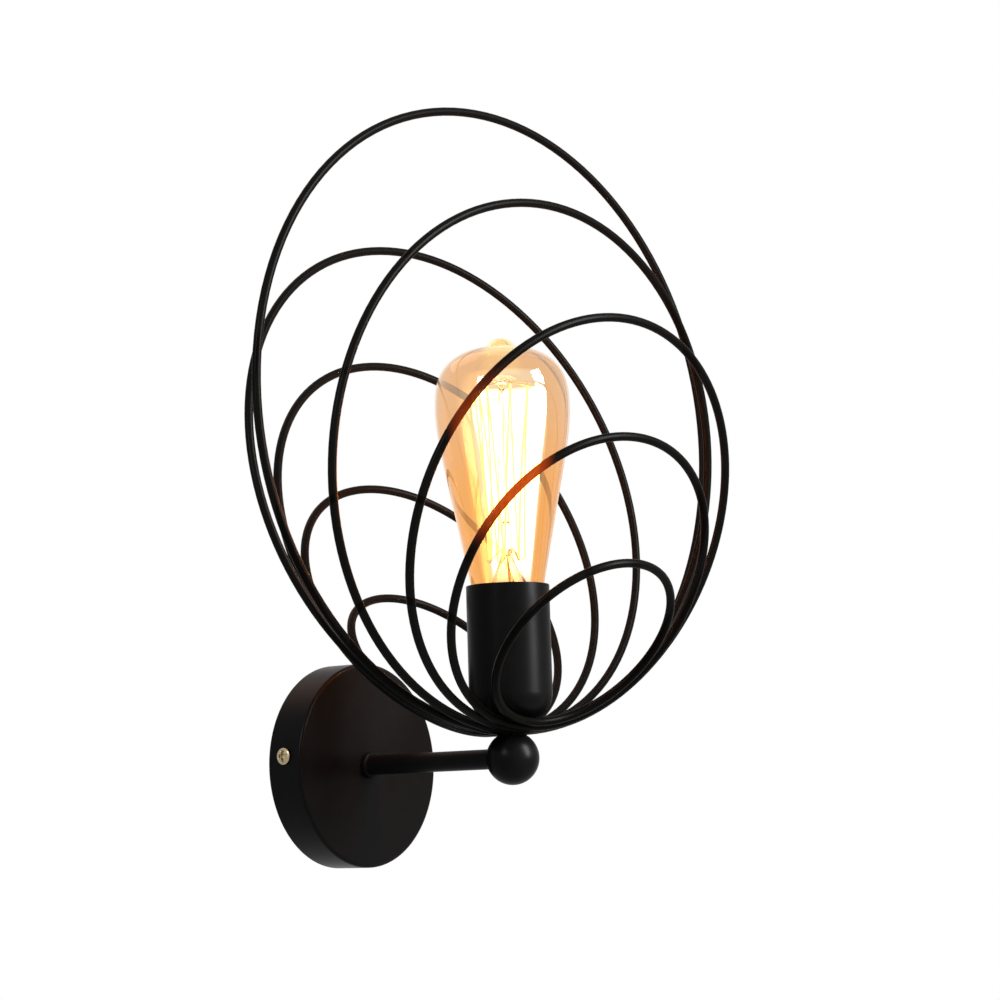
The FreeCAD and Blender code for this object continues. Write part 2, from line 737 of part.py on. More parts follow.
def hook(k, high):
    """The place of one filament hook. The upper ones stand between the lower ones, which hold both ends."""
    step = 360 / (filament_hooks + 1)
    angle = math.radians(step * (k + 0.5 if high else k))
    radius = filament_high_radius if high else filament_low_radius
    height = filament_high_height if high else filament_low_height
    return vec(radius * math.cos(angle), radius * math.sin(angle), cup_rim + height)


def make_filament():
    """One thread that runs up and down between the hooks, open where its two ends meet the lead-in wires."""
    stops = [hook(0, False)]
    for k in range(filament_hooks):
        stops.append(hook(k, True))
        stops.append(hook(k + 1, False))
    thread = Part.makeSphere(filament_radius, stops[0])
    for a, b in zip(stops, stops[1:]):
        thread = thread.fuse(rod(filament_radius, a, b)).fuse(Part.makeSphere(filament_radius, b))
    return thread


def make_supports():
    """Fine hooks from the stem's button and foot out to the filament, and the two thicker lead-in wires."""
    wires = []
    root = vec(0, 0, cup_rim + stem_top_height)
    for k in range(filament_hooks):
        tip = hook(k, True)
        way = (tip - root).normalize()
        wires.append(rod(support_radius, root + way * (stem_button_radius + seat_gap),
                         tip - way * (filament_radius + seat_gap)))
    for k in range(filament_hooks + 1):
        tip = hook(k, False)
        way = vec(tip.x, tip.y, 0).normalize()
        start = vec(0, 0, tip.z) + way * (stem_tube_radius + seat_gap)
        radius = lead_in_radius if k in (0, filament_hooks) else support_radius
        wires.append(rod(radius, start, tip - way * (filament_radius + seat_gap)))
    return wires


# Leads and terminal block
def lead_route(side):
    """From the terminal block down and forward through the arm, up through the nipple, to the insulator."""
    block_y = -(block_back_gap + block_depth / 2)
    spread = (insulator_bottom + nipple_top) / 2
    return [
        vec(side * block_pole_offset, block_y, block_bottom + lead_tuck),
        vec(side * block_pole_offset, block_y, block_bottom - lead_diameter),
        vec(side * lead_offset, block_y, lead_bend_radius + lead_diameter),
        vec(side * lead_offset, block_y, 0),
        vec(side * lead_offset, axis_y, 0),
        vec(side * lead_offset, axis_y, nipple_top),
        vec(side * terminal_offset, axis_y, spread),
        vec(side * terminal_offset, axis_y, insulator_bottom + terminal_depth - seat_gap),
    ]


def make_earth_lead():
    tag_y = canopy_face_back + arm_tag_thickness + lead_diameter / 2
    low_y = -(bracket_thickness + lead_diameter / 2)
    beside = earth_screw_radius + lead_diameter / 2 + seat_gap
    far = earth_screw_offset + 2 * earth_washer_radius
    return lead([vec(arm_washer_radius + lead_diameter / 2, tag_y, 0), vec(far, tag_y, 0),
                 vec(far, low_y, beside), vec(earth_screw_offset - earth_washer_radius, low_y, beside)],
                lead_diameter, lead_bend_radius)


def block_places():
    """The four screws of the terminal block: two poles, two screws each."""
    return [(side * block_pole_offset, block_bottom + block_height * share)
            for side in (-1, 1) for share in (block_screw_share, 1 - block_screw_share)]


def make_block():
    half = block_width / 2
    block = box(vec(-half, -(block_back_gap + block_depth), block_bottom),
                vec(half, -block_back_gap, block_bottom + block_height))
    block = block.makeFillet(block_edge_radius, block.Edges)
    front = -(block_back_gap + block_depth)
    bore_y = -(block_back_gap + block_depth / 2)
    for side in (-1, 1):
        block = bored(block, block_bore_radius, vec(side * block_pole_offset, bore_y, block_bottom),
                      vec(side * block_pole_offset, bore_y, block_bottom + block_height))
    for x, z in block_places():
        block = block.cut(rod(block_screw_radius + seat_gap, vec(x, front - overrun, z), vec(x, bore_y, z)))
    return block


def make_block_screws():
    front = -(block_back_gap + block_depth)
    bore_y = -(block_back_gap + block_depth / 2)
    screws = []
    for x, z in block_places():
        screw = rod(block_screw_radius, vec(x, bore_y - lead_diameter / 2 - seat_gap, z),
                    vec(x, front + block_edge_radius, z))
        screws.append(screw)
    return screws


def build_wall_side():
    parts["wall_bracket"] = make_bracket()
    parts["earth_screw"] = make_earth_screw()
    parts["earth_washer"] = make_earth_washer()
    parts["canopy"] = make_canopy()
    parts["canopy_screw_left"] = make_side_screw(-1)
    parts["canopy_screw_right"] = make_side_screw(1)
    parts["terminal_block"] = make_block()
    parts["terminal_block_screws"] = Part.makeCompound(make_block_screws())


def build_arm():
    parts["arm_collar"] = make_arm_collar()
    parts["arm_tube"] = make_arm_tube()
    parts["arm_earth_tag"] = make_arm_tag()
    parts["arm_washer"] = make_arm_washer()
    parts["arm_lock_nut"] = make_arm_nut()
    parts["ball_connector"] = on_axis(make_ball())
    parts["live_lead"] = lead(lead_route(-1), lead_diameter, lead_bend_radius)
    parts["neutral_lead"] = lead(lead_route(1), lead_diameter, lead_bend_radius)
    parts["earth_lead"] = make_earth_lead()


def build_cage():
    parts["cage_nipple"] = on_axis(make_nipple())
    parts["cage_hub"] = on_axis(make_hub())
    parts["cup_spacer"] = on_axis(make_spacer())
    for name, diameter, lean, turn, seat_out, seat_up in ring_seat_shares:
        parts[name] = in_cage(make_ring(diameter, lean, turn, seat_out, seat_up))


def build_lampholder():
    parts["lamp_cup"] = on_axis(make_cup())
    parts["cup_washer"] = on_axis(make_cup_washer())
    parts["cup_lock_nut"] = on_axis(make_cup_nut())
    parts["holder_bridge"] = on_axis(make_bridge())
    parts["holder_insulator"] = on_axis(make_insulator())
    parts["holder_terminal_screws"] = on_axis(Part.makeCompound(make_terminal_screws()))
    parts["holder_fixing_screws"] = on_axis(Part.makeCompound(make_fixing_screws()))
    parts["contact_shell"] = on_axis(make_contact_shell())
    parts["centre_contact"] = on_axis(make_tongue())


def build_bulb():
    parts["bulb_foot_contact"] = on_axis(make_foot_contact())
    parts["bulb_cap_insulator"] = on_axis(make_cap_insulator())
    parts["bulb_cap"] = on_axis(make_cap())
    parts["bulb_glass"] = on_axis(make_glass())
    parts["bulb_stem"] = on_axis(make_stem())
    parts["bulb_filament"] = on_axis(make_filament())
    parts["bulb_filament_supports"] = on_axis(Part.makeCompound(make_supports()))


def export_parts():
    os.makedirs("parts", exist_ok=True)
    for name, shape in parts.items():
        shape.exportStep("parts/" + name + ".step")
        print(name, len(shape.Solids), shape.isValid(), round(shape.Volume, 1))


build_wall_side()
build_arm()
build_cage()
build_lampholder()
build_bulb()
export_parts()
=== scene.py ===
import json
import math

import bmesh
import bpy
import numpy as np
from mathutils import Matrix, Vector


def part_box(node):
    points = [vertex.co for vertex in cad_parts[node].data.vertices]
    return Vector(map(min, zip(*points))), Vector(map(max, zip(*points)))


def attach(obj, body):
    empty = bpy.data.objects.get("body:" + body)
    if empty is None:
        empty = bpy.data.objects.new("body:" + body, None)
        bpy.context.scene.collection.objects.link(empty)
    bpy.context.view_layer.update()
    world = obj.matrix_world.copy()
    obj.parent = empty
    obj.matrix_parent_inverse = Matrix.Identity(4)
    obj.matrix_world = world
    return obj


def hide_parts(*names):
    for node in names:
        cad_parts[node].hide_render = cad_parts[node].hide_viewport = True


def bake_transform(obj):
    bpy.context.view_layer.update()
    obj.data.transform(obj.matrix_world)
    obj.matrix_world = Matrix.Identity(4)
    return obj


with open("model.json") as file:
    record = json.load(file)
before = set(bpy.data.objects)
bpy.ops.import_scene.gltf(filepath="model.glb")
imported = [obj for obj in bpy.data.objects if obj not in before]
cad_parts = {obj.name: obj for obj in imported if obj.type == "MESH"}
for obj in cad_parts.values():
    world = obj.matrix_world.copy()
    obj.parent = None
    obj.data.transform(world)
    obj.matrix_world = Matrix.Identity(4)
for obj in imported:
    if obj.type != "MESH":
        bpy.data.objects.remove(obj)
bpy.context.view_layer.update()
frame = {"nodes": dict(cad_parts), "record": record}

# Looks of a wall sconce: black wire hoops fanned round one upright filament bulb.
# The wall is the plane Y = 0, the room lies towards -Y and Z is up. Lengths are in metres.

MM = 0.001
NODES = frame["nodes"]

# Where the pieces stand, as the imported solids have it
AXIS_Y = -109 * MM
CUP_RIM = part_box("lamp_cup")[1].z
GLASS_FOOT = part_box("bulb_glass")[0].z

# The blown bulb, in millimetres above the cup's rim: radius and height of its outer face
GLASS_SIDE = ((17.2, 0.0), (23.9, 34.0), (29.5, 62.0), (32.0, 87.0), (27.9, 102.9), (12.8, 112.2))
GLASS_WALL = 0.8
GLASS_NECK_RADIUS = 12.85
GLASS_NECK_LENGTH = 1.7
GLASS_CROWN_SLOPE = 10.0
GLASS_PIP_FOOT = (7.3, 113.0)
GLASS_PIP_TOP = 118.0
GLASS_PIP_LEAN = 0.3
GLASS_ROWS = 160
GLASS_END_ROWS = 20
GLASS_SIDES = 192

# The pressed stem, in millimetres: radius and height above the cup's rim, down inside its flare, up outside
# it and up the rod to the button
STEM_INSIDE = ((0.01, 15.0), (2.2, 12.5), (4.6, 6.5), (11.2, -5.5))
STEM_OUTSIDE = ((12.0, -5.5), (5.6, 6.5), (3.3, 13.5), (3.0, 24.0), (2.6, 28.5), (1.2, 31.0))
STEM_ROD = ((1.2, 31.5), (1.2, 93.0), (2.2, 95.5), (1.5, 97.4), (0.0, 97.8))
STEM_FLARE_SLOPE = 0.8
STEM_INSIDE_ROWS = 24
STEM_ROWS = 60
STEM_SIDES = 48

# The thread and the wires that hold it, in millimetres and degrees: each place is a radius and a height
# above the cup's rim. The seed draws how far each run bows in, between the two bows.
THREAD_HOOKS = 7
THREAD_RADIUS = 0.42
THREAD_START = 20.0
THREAD_TURN = 335.0
THREAD_BOWS = (0.3, 1.3)
THREAD_SEED = 4
THREAD_RUN_STEPS = 120
THREAD_ROUNDING = 5
THREAD_SIDES = 10
UPPER_HOOK = (13.6, 94.5)
LOWER_HOOK = (8.6, 12.0)
UPPER_SUPPORT = ((0.6, 96.6), (5.0, 96.9), (9.5, 96.3), (12.9, 95.5))
LOWER_SUPPORT = ((1.2, 17.0), (4.0, 16.2), (7.0, 13.0), (7.7, 11.4))
SUPPORT_RADIUS = 0.22
SUPPORT_SIDES = 6
EYE_RADIUS = 0.7
EYE_STEPS = 9
LEAD_WIRE = ((3.4, -12.0), (3.2, -3.0), (1.9, 7.0), (1.4, 15.0), (3.0, 17.5), LOWER_HOOK)
LEAD_RADIUS = 0.4
LEAD_END_SLOPE = 0.5
LEAD_STEPS = 40
LEAD_SIDES = 8
NUDGE = 1e-9

# The bulb's screw cap, in millimetres. Its root fades out over a share of the pitch.
CAP_RADIUS = 13.2
CAP_ROOT_DEPTH = 0.85
CAP_WALL = 0.3
CAP_PITCH = 3.6
CAP_TURNS = 4
CAP_FADE_SHARE = 1 / 3
CAP_ROWS = 110
CAP_SIDES = 120

# The supply leads, each with its sleeve's slot. Corners of their solids nearer than WELD_DISTANCE, in
# millimetres, become one.
LEADS = (("live_lead", "brown_sleeve"), ("neutral_lead", "blue_sleeve"))
WELD_DISTANCE = 0.001
EARTH_STRIPE_RISE = 0.3

# The canopy's side screws, in millimetres. The rim of the head is a radius less the head's own, and a
# height. The cross recess reaches RECESS_REACH out along each arm, and its walls slope over a share of its
# half width.
SCREW_SEAT = 49.5
SCREW_RADIUS = 2.0
SCREW_PITCH = 0.7
SCREW_THREAD_DEPTH = 0.45
SCREW_PLAIN_LENGTH = 1.5
SCREW_POINT_LENGTH = 0.6
SCREW_POINT_SHARE = 0.3
SCREW_HEAD_RADIUS = 4.0
SCREW_HEAD_HEIGHT = 1.7
SCREW_HEAD_RIM = ((-0.1, 0.0), (0.0, 0.12), (0.0, 0.75), (-0.08, 0.95))
SCREW_DOME_INSET = 0.25
SCREW_DOME_FALL = 0.75
RECESS_REACH = 2.3
RECESS_HALF_WIDTH = 0.75
RECESS_DEPTH = 1.5
RECESS_LIP_SHARE = 1.2
RECESS_SLOPE_SHARE = 0.22
SCREW_SHANK_ROWS = 150
SCREW_DOME_ROWS = 40
SCREW_SIDES = 96


# Materials

# The glare of the lit threads, painted as light that the bulb's glass gives off: on the bulb's far wall it is
# past white, and orange where little of it comes. What shows over a wire in front of the bulb is a small share
# of its own, redder painted glare.
THREAD_GLARE = [21.0, 6.0, 0.95, 1.0]
WIRE_GLARE = [170.0, 19.0, 0.7, 1.0]
WIRE_GLARE_SHARE = 0.003

# The lacquered glass: its index, the way towards the side where its painted glare reaches further, and half
# the width in millimetres over which the sides pass into each other. Pairs go from the other side to that one:
# how far the glass turns away where its clear face, which carries the painted glare, ends, and how much
# further the pale fringe of painted glow beside it reaches. The clear face ends softly.
GLASS_INDEX = 1.33
THIN_SIDE = (0.622, -0.783, 0.0)
THIN_SIDE_BLEND = 5.0
CLEAR_EDGES = (0.105, 0.245)
CLEAR_SOFTNESS = (-0.015, 0.005)
PALE_FRINGES = (-0.2, -0.02)

# Where each look of the glass comes in or goes out, from none of it to all: heights in millimetres over the
# cup's rim, the way out from the middle in millimetres, and how far the glass turns away
CLEAR_FROM = (-12.0, 10.0)
CLEAR_UNTIL = (99.0, 96.0)
# Below: the painted glow of the glass, its painted crown glow and the painted glares.
GREY_HAZE_FROM = (35.0, 95.0)
CROWN_GLOW_FROM = (103.0, 109.0)
CROWN_GLOW_WITHIN = (12.0, 5.0)
THREAD_GLARE_FROM = (3.0, 18.0)
WIRE_GLARE_FROM = (15.0, 40.0)
WIRE_GLARE_UNTIL = (105.0, 50.0)
WIRE_GLARE_FACING = (0.5, 0.08)


def linear(code):
    """An sRGB hex colour as linear red, green, blue and alpha."""
    parts = [int(code[k:k + 2], 16) / 255 for k in (1, 3, 5)]
    return [c / 12.92 if c <= 0.04045 else ((c + 0.055) / 1.055) ** 2.4 for c in parts] + [1.0]


def add(tree, kind, sockets=(), **settings):
    """Adds one node. Each socket pairs an input's name or number with a value or another node's output."""
    node = tree.nodes.new("ShaderNode" + kind)
    for name, value in settings.items():
        setattr(node, name, value)
    for name, value in sockets:
        if isinstance(value, bpy.types.NodeSocket):
            tree.links.new(value, node.inputs[name])
        else:
            node.inputs[name].default_value = value
    return node


def surface(name, sockets):
    """A material with one Principled shader and the constants that its finish has all over."""
    material = bpy.data.materials.new(name)
    material.use_nodes = True
    tree = material.node_tree
    tree.nodes.clear()
    shader = add(tree, "BsdfPrincipled", sockets)
    add(tree, "OutputMaterial", [("Surface", shader.outputs[0])])
    return material, tree, shader


def grain(tree, size_mm, detail=2.0):
    """Noise on the piece's own coordinates, its lumps about size_mm across."""
    place = add(tree, "TexCoord").outputs["Object"]
    return add(tree, "TexNoise", [("Vector", place), ("Scale", 1 / (size_mm * MM)), ("Detail", detail)])


def varied(tree, shader, noise, dark, light):
    """Lets the base colour drift between two hex colours with the noise."""
    colour = blended(tree, noise.outputs[0], linear(dark), linear(light))
    tree.links.new(colour, shader.inputs["Base Color"])


def ruffled(tree, shader, noise, height_mm, strength):
    """Lets the noise raise the surface by up to height_mm."""
    bump = add(tree, "Bump", [
        ("Height", noise.outputs[0]), ("Distance", height_mm * MM), ("Strength", strength)])
    tree.links.new(bump.outputs[0], shader.inputs["Normal"])


def see_through(tree, shader, share, tint):
    """Lets the light pass straight through the surface, tinted with a hex colour, by the share."""
    passed = add(tree, "BsdfTransparent", [("Color", linear(tint))])
    mix = add(tree, "MixShader", [(0, share), (1, shader.outputs[0]), (2, passed.outputs[0])])
    tree.links.new(mix.outputs[0], tree.nodes["Material Output"].inputs["Surface"])


def matt_black_powder_coat(name, dark, light, gloss, glare):
    """Polyester powder, sprayed and baked: nearly black, with soft dull highlights and a faint orange peel.
    Gloss says how much of a lamp its face throws back. On thin wire the share glare of the look passes
    straight through the coat, and all of it through its inner faces, so that the painted glare on the lit
    bulb's near wall shows over the edge."""
    material, tree, shader = surface(name, [
        ("Roughness", 0.32), ("IOR", 1.5), ("Specular IOR Level", gloss)])
    varied(tree, shader, grain(tree, 6.0), dark, light)
    ruffled(tree, shader, grain(tree, 0.9), 0.03, 0.2)
    if glare:
        # See-through share that lets the painted glare on the bulb behind show over the wire.
        inside = add(tree, "NewGeometry").outputs["Backfacing"]
        share = add(tree, "Math", [(0, inside), (1, glare)], operation="MAXIMUM").outputs[0]
        see_through(tree, shader, share, "#FFFFFF")
    return material


def zinc_plated_steel():
    """Pressed steel, zinc plated: cool grey metal with cloudy patches."""
    material, tree, shader = surface("zinc_plated_steel", [("Metallic", 1.0), ("Roughness", 0.38)])
    varied(tree, shader, grain(tree, 4.0), "#9DA1A3", "#C2C5C5")
    ruffled(tree, shader, grain(tree, 0.4), 0.01, 0.3)
    return material


def nickel_plated_steel():
    """Turned steel, nickel plated: warm bright metal, faintly blurred by turning marks."""
    material, tree, shader = surface("nickel_plated_steel", [("Metallic", 1.0), ("Roughness", 0.26)])
    varied(tree, shader, grain(tree, 1.5), "#8F8166", "#A89A7E")
    ruffled(tree, shader, grain(tree, 0.25), 0.006, 0.3)
    return material


def rolled_brass():
    """Rolled brass strip and turned brass: yellow metal, a little dulled by handling."""
    material, tree, shader = surface("rolled_brass", [("Metallic", 1.0), ("Roughness", 0.32)])
    varied(tree, shader, grain(tree, 3.0), "#B08A46", "#CFAE68")
    ruffled(tree, shader, grain(tree, 0.5), 0.008, 0.3)
    return material


def drawn_brass_cap():
    """A cap drawn from thin brass and pickled: pale dull gold."""
    material, tree, shader = surface("drawn_brass_cap", [("Metallic", 1.0), ("Roughness", 0.34)])
    varied(tree, shader, grain(tree, 2.5), "#B5A27A", "#D2C29C")
    ruffled(tree, shader, grain(tree, 0.5), 0.008, 0.3)
    return material


def glazed_porcelain():
    """Fired porcelain under a clear glaze: warm white, with sharp small highlights."""
    material, tree, shader = surface("glazed_porcelain", [
        ("Roughness", 0.18), ("IOR", 1.5), ("Coat Weight", 0.5), ("Coat Roughness", 0.06)])
    varied(tree, shader, grain(tree, 5.0), "#E3DFD3", "#EFEBE1")
    ruffled(tree, shader, grain(tree, 1.2), 0.02, 0.3)
    return material


def stepped(tree, value, nought, one):
    """A share that goes softly from 0 where value is nought to 1 where it is one."""
    return add(tree, "MapRange", [("Value", value), ("From Min", nought), ("From Max", one)],
               interpolation_type="SMOOTHSTEP").outputs[0]


def over_rim(tree, height, span):
    """A share that goes softly from 0 to 1 between two heights in millimetres over the cup's rim."""
    return stepped(tree, height, CUP_RIM + span[0] * MM, CUP_RIM + span[1] * MM)


def product(tree, first, second):
    """One share times another."""
    return add(tree, "Math", [(0, first), (1, second)], operation="MULTIPLY").outputs[0]


def blended(tree, share, first, second):
    """A colour that goes from first to second with the share."""
    return add(tree, "Mix", [("Factor", share), (6, first), (7, second)], data_type="RGBA").outputs[2]


def graded(tree, place, stops):
    """A colour that follows place, from 0 to 1, through stops of a position and a hex colour."""
    ramp = add(tree, "ValToRGB", [("Fac", place)])
    first, last = ramp.color_ramp.elements
    first.position, first.color = stops[0][0], linear(stops[0][1])
    last.position, last.color = stops[-1][0], linear(stops[-1][1])
    for position, code in stops[1:-1]:
        ramp.color_ramp.elements.new(position).color = linear(code)
    return ramp.outputs[0]


def turned_away(tree, inside):
    """How far a glass face turns away from the eye: 0 face on and 1 edge on. Where the look comes from
    inside the glass, which has bent it, the sine of its angle is multiplied by the glass's index again."""
    facing = add(tree, "LayerWeight", [("Blend", 0.5)]).outputs["Facing"]
    cosine = add(tree, "Math", [(0, 1.0), (1, facing)], operation="SUBTRACT").outputs[0]
    square = product(tree, cosine, cosine)
    square = add(tree, "Math", [(0, 1.0), (1, square)], operation="SUBTRACT").outputs[0]
    square = product(tree, square, GLASS_INDEX ** 2)
    square = add(tree, "Math", [(0, 1.0), (1, square)], operation="SUBTRACT").outputs[0]
    cosine = add(tree, "Math", [(0, square)], operation="SQRT").outputs[0]
    unbent = add(tree, "Math", [(0, 1.0), (1, cosine)], operation="SUBTRACT").outputs[0]
    return add(tree, "Mix", [("Factor", inside), (2, facing), (3, unbent)]).outputs[0]


def with_glare(tree, haze, core, height, facing, inside):
    """The painted glow of the lacquer with the painted glare of the threads over it. A look that has gone
    straight through glass meets that painted glare on the far wall, in the clear core. A wire's painted glare
    lies on the near wall, where the look has passed through the wire's coat."""
    path = add(tree, "LightPath").outputs
    front = add(tree, "Math", [(0, 1.0), (1, inside)], operation="SUBTRACT").outputs[0]
    turns = add(tree, "Math", [(0, path["Diffuse Depth"]), (1, path["Glossy Depth"])]).outputs[0]
    straight = add(tree, "Math", [(0, turns), (1, 0.5)], operation="LESS_THAN").outputs[0]
    # Painted glare of the threads: light given off by the far wall, in the clear core.
    far = product(tree, product(tree, path["Is Transmission Ray"], front), straight)
    bright = product(tree, core, over_rim(tree, height, THREAD_GLARE_FROM))
    glow = blended(tree, product(tree, far, bright), haze, THREAD_GLARE)
    # Painted glare over the wires: light given off by the near wall where the look has passed a hoop's coat.
    coats = path["Transparent Depth"]
    passed = add(tree, "Math", [(0, coats), (1, 0.5)], operation="GREATER_THAN").outputs[0]
    near = product(tree, product(tree, path["Is Camera Ray"], front), passed)
    spread = product(tree, over_rim(tree, height, WIRE_GLARE_UNTIL), over_rim(tree, height, WIRE_GLARE_FROM))
    spread = product(tree, stepped(tree, facing, *WIRE_GLARE_FACING), spread)
    return blended(tree, product(tree, near, spread), glow, WIRE_GLARE)


def amber_blown_glass():
    """Soda-lime glass, blown and lacquered amber. Face on it is clear, and where it turns away, over the crown
    and at its neck, the lacquer shows deep. It gives off a painted glow, more tan towards the top, with a
    painted yellow glow in the crown's middle. Its far wall carries the painted glare of the threads, and its
    near wall the painted glare that shows over the wires in front; the clear face with its painted glare
    reaches further on one side. Lamps shine through it, tinted."""
    material, tree, shader = surface("amber_blown_glass", [
        ("Roughness", 0.0), ("IOR", GLASS_INDEX), ("Transmission Weight", 1.0), ("Emission Strength", 1.0)])
    place = add(tree, "TexCoord").outputs["Object"]
    height = add(tree, "SeparateXYZ", [(0, place)]).outputs["Z"]
    inside = add(tree, "NewGeometry").outputs["Backfacing"]
    facing = turned_away(tree, inside)

    # thin is 1 on the side where the clear face with its painted glare reaches further and its pale fringe of
    # painted glow less far; the glass's wall is the same all round.
    side = add(tree, "VectorMath", [(0, place), (1, THIN_SIDE)], operation="DOT_PRODUCT").outputs["Value"]
    side = add(tree, "Math", [(0, side), (1, AXIS_Y * THIN_SIDE[1])], operation="SUBTRACT").outputs[0]
    thin = stepped(tree, side, -THIN_SIDE_BLEND * MM, THIN_SIDE_BLEND * MM)
    edge = add(tree, "Mix", [("Factor", thin), (2, CLEAR_EDGES[0]), (3, CLEAR_EDGES[1])]).outputs[0]
    within = add(tree, "Math", [(0, edge), (1, facing)], operation="SUBTRACT").outputs[0]
    below_crown = over_rim(tree, height, CLEAR_UNTIL)
    core = product(tree, stepped(tree, within, *CLEAR_SOFTNESS), below_crown)
    clear = product(tree, core, over_rim(tree, height, CLEAR_FROM))
    # The pale fringe beside the clear face is painted glow.
    fringe = add(tree, "Mix", [("Factor", thin), (2, PALE_FRINGES[0]), (3, PALE_FRINGES[1])]).outputs[0]
    pale = product(tree, stepped(tree, within, fringe, 0.0), below_crown)
    aside = add(tree, "Math", [(0, side)], operation="ABSOLUTE").outputs[0]
    # A painted yellow glow in the crown's middle, where the threads' light shines back from its far side.
    crown_glow = product(tree, over_rim(tree, height, CROWN_GLOW_FROM),
                         stepped(tree, aside, CROWN_GLOW_WITHIN[0] * MM, CROWN_GLOW_WITHIN[1] * MM))

    wall = graded(tree, facing, [
        (0.0, "#D5B587"), (0.6, "#D1B082"), (0.8, "#C09C70"), (0.93, "#9F7A50"), (1.0, "#805C3C")])
    wall = blended(tree, pale, wall, linear("#F4D39D"))
    wall = blended(tree, crown_glow, wall, linear("#E4D094"))
    tree.links.new(blended(tree, clear, wall, linear("#FFFFFF")), shader.inputs["Base Color"])

    # Painted glow: light that the glass gives off, amber low down and greyer higher up, dim in the clear face.
    haze = blended(tree, over_rim(tree, height, GREY_HAZE_FROM), linear("#70512C"), linear("#665C54"))
    haze = blended(tree, clear, haze, linear("#141410"))
    glow = with_glare(tree, haze, core, height, facing, inside)
    tree.links.new(glow, shader.inputs["Emission Color"])
    see_through(tree, shader, add(tree, "LightPath").outputs["Is Shadow Ray"], "#FBD9A0")
    material.cycles.emission_sampling = "NONE"
    return material


def clear_pressed_glass():
    """Lead glass, flared and pinched while hot: clear, with a painted warm cast of the lit threads' light."""
    material, tree, shader = surface("clear_pressed_glass", [
        ("Base Color", linear("#FFF4DC")), ("Roughness", 0.02), ("IOR", 1.5), ("Transmission Weight", 1.0)])
    ruffled(tree, shader, grain(tree, 3.0), 0.1, 0.3)
    see_through(tree, shader, add(tree, "LightPath").outputs["Is Shadow Ray"], "#FFF4DC")
    return material


def black_cap_glass():
    """Black insulating glass, cast hot into the cap: deep gloss with small ripples."""
    material, tree, shader = surface("black_cap_glass", [("Roughness", 0.12), ("IOR", 1.5)])
    varied(tree, shader, grain(tree, 2.0), "#0B0B0D", "#15151A")
    ruffled(tree, shader, grain(tree, 1.5), 0.03, 0.4)
    return material


def glowing_carbon_thread():
    """Carbonised thread at working heat: it gives its own yellow-orange light."""
    material, tree, shader = surface("glowing_carbon_thread", [
        ("Roughness", 0.8), ("Emission Color", [1.0, 0.5, 0.1, 1.0]), ("Emission Strength", 1.4)])
    varied(tree, shader, grain(tree, 0.5), "#FFB040", "#FFC868")
    return material


def drawn_support_wire():
    """Fine drawn nickel and molybdenum wire: grey metal, dull from the heat."""
    material, tree, shader = surface("drawn_support_wire", [("Metallic", 1.0), ("Roughness", 0.42)])
    varied(tree, shader, grain(tree, 0.6), "#8A7460", "#A8937C")
    return material


def extruded_sleeve(name, dark, light):
    """PVC extruded round a copper core: even colour with a soft sheen."""
    material, tree, shader = surface(name, [("Roughness", 0.42), ("IOR", 1.5)])
    varied(tree, shader, grain(tree, 2.0), dark, light)
    ruffled(tree, shader, grain(tree, 1.0), 0.02, 0.2)
    return material


def striped_earth_sleeve():
    """PVC extruded in two colours: green, with a broad yellow stripe along its upper side."""
    material, tree, shader = surface("striped_earth_sleeve", [("Roughness", 0.42), ("IOR", 1.5)])
    place = add(tree, "TexCoord").outputs["Object"]
    height = add(tree, "SeparateXYZ", [(0, place)]).outputs["Z"]
    stripe = add(tree, "Math", [(0, height), (1, EARTH_STRIPE_RISE * MM)], operation="GREATER_THAN")
    varied(tree, shader, stripe, "#2F7A35", "#D9C63A")
    return material


def moulded_polyamide():
    """Injection-moulded polyamide: milky white, faintly see-through at its edges."""
    material, tree, shader = surface("moulded_polyamide", [
        ("Roughness", 0.4), ("IOR", 1.5), ("Subsurface Weight", 0.08), ("Subsurface Scale", 0.002)])
    varied(tree, shader, grain(tree, 4.0), "#DEDCD2", "#EAE8DF")
    return material


SLOT_LOOKS = {
    "black_paint": matt_black_powder_coat("matt_black_powder_coat", "#040404", "#070707", 0.028, 0.0),
    "zinc_steel": zinc_plated_steel(),
    "nickel_steel": nickel_plated_steel(),
    "brass": rolled_brass(),
    "bulb_cap_metal": drawn_brass_cap(),
    "porcelain": glazed_porcelain(),
    "amber_glass": amber_blown_glass(),
    "clear_glass": clear_pressed_glass(),
    "black_glass": black_cap_glass(),
    "glowing_thread": glowing_carbon_thread(),
    "fine_wire": drawn_support_wire(),
    "brown_sleeve": extruded_sleeve("brown_live_sleeve", "#4A2A16", "#5C361E"),
    "blue_sleeve": extruded_sleeve("blue_neutral_sleeve", "#1E4C9A", "#2A5BB0"),
    "green_sleeve": striped_earth_sleeve(),
    "white_plastic": moulded_polyamide(),
}
# The hoops' copy of the black coat, painted darker and less glossy than the rest as painted shade; it lets the
# painted glare through.
HOOP_COAT = matt_black_powder_coat("matt_black_hoop_coat_painted_shade", "#020202", "#050403", 0.012, WIRE_GLARE_SHARE)


def dress_solids():
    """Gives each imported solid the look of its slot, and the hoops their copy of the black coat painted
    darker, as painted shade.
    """
    for part in frame["record"]["subparts"]:
        solid = NODES[part["node"]]
        look = HOOP_COAT if part["node"].startswith("ring_") else SLOT_LOOKS[part["material_slot"]]
        for place in solid.material_slots:
            place.material = look


# New shapes

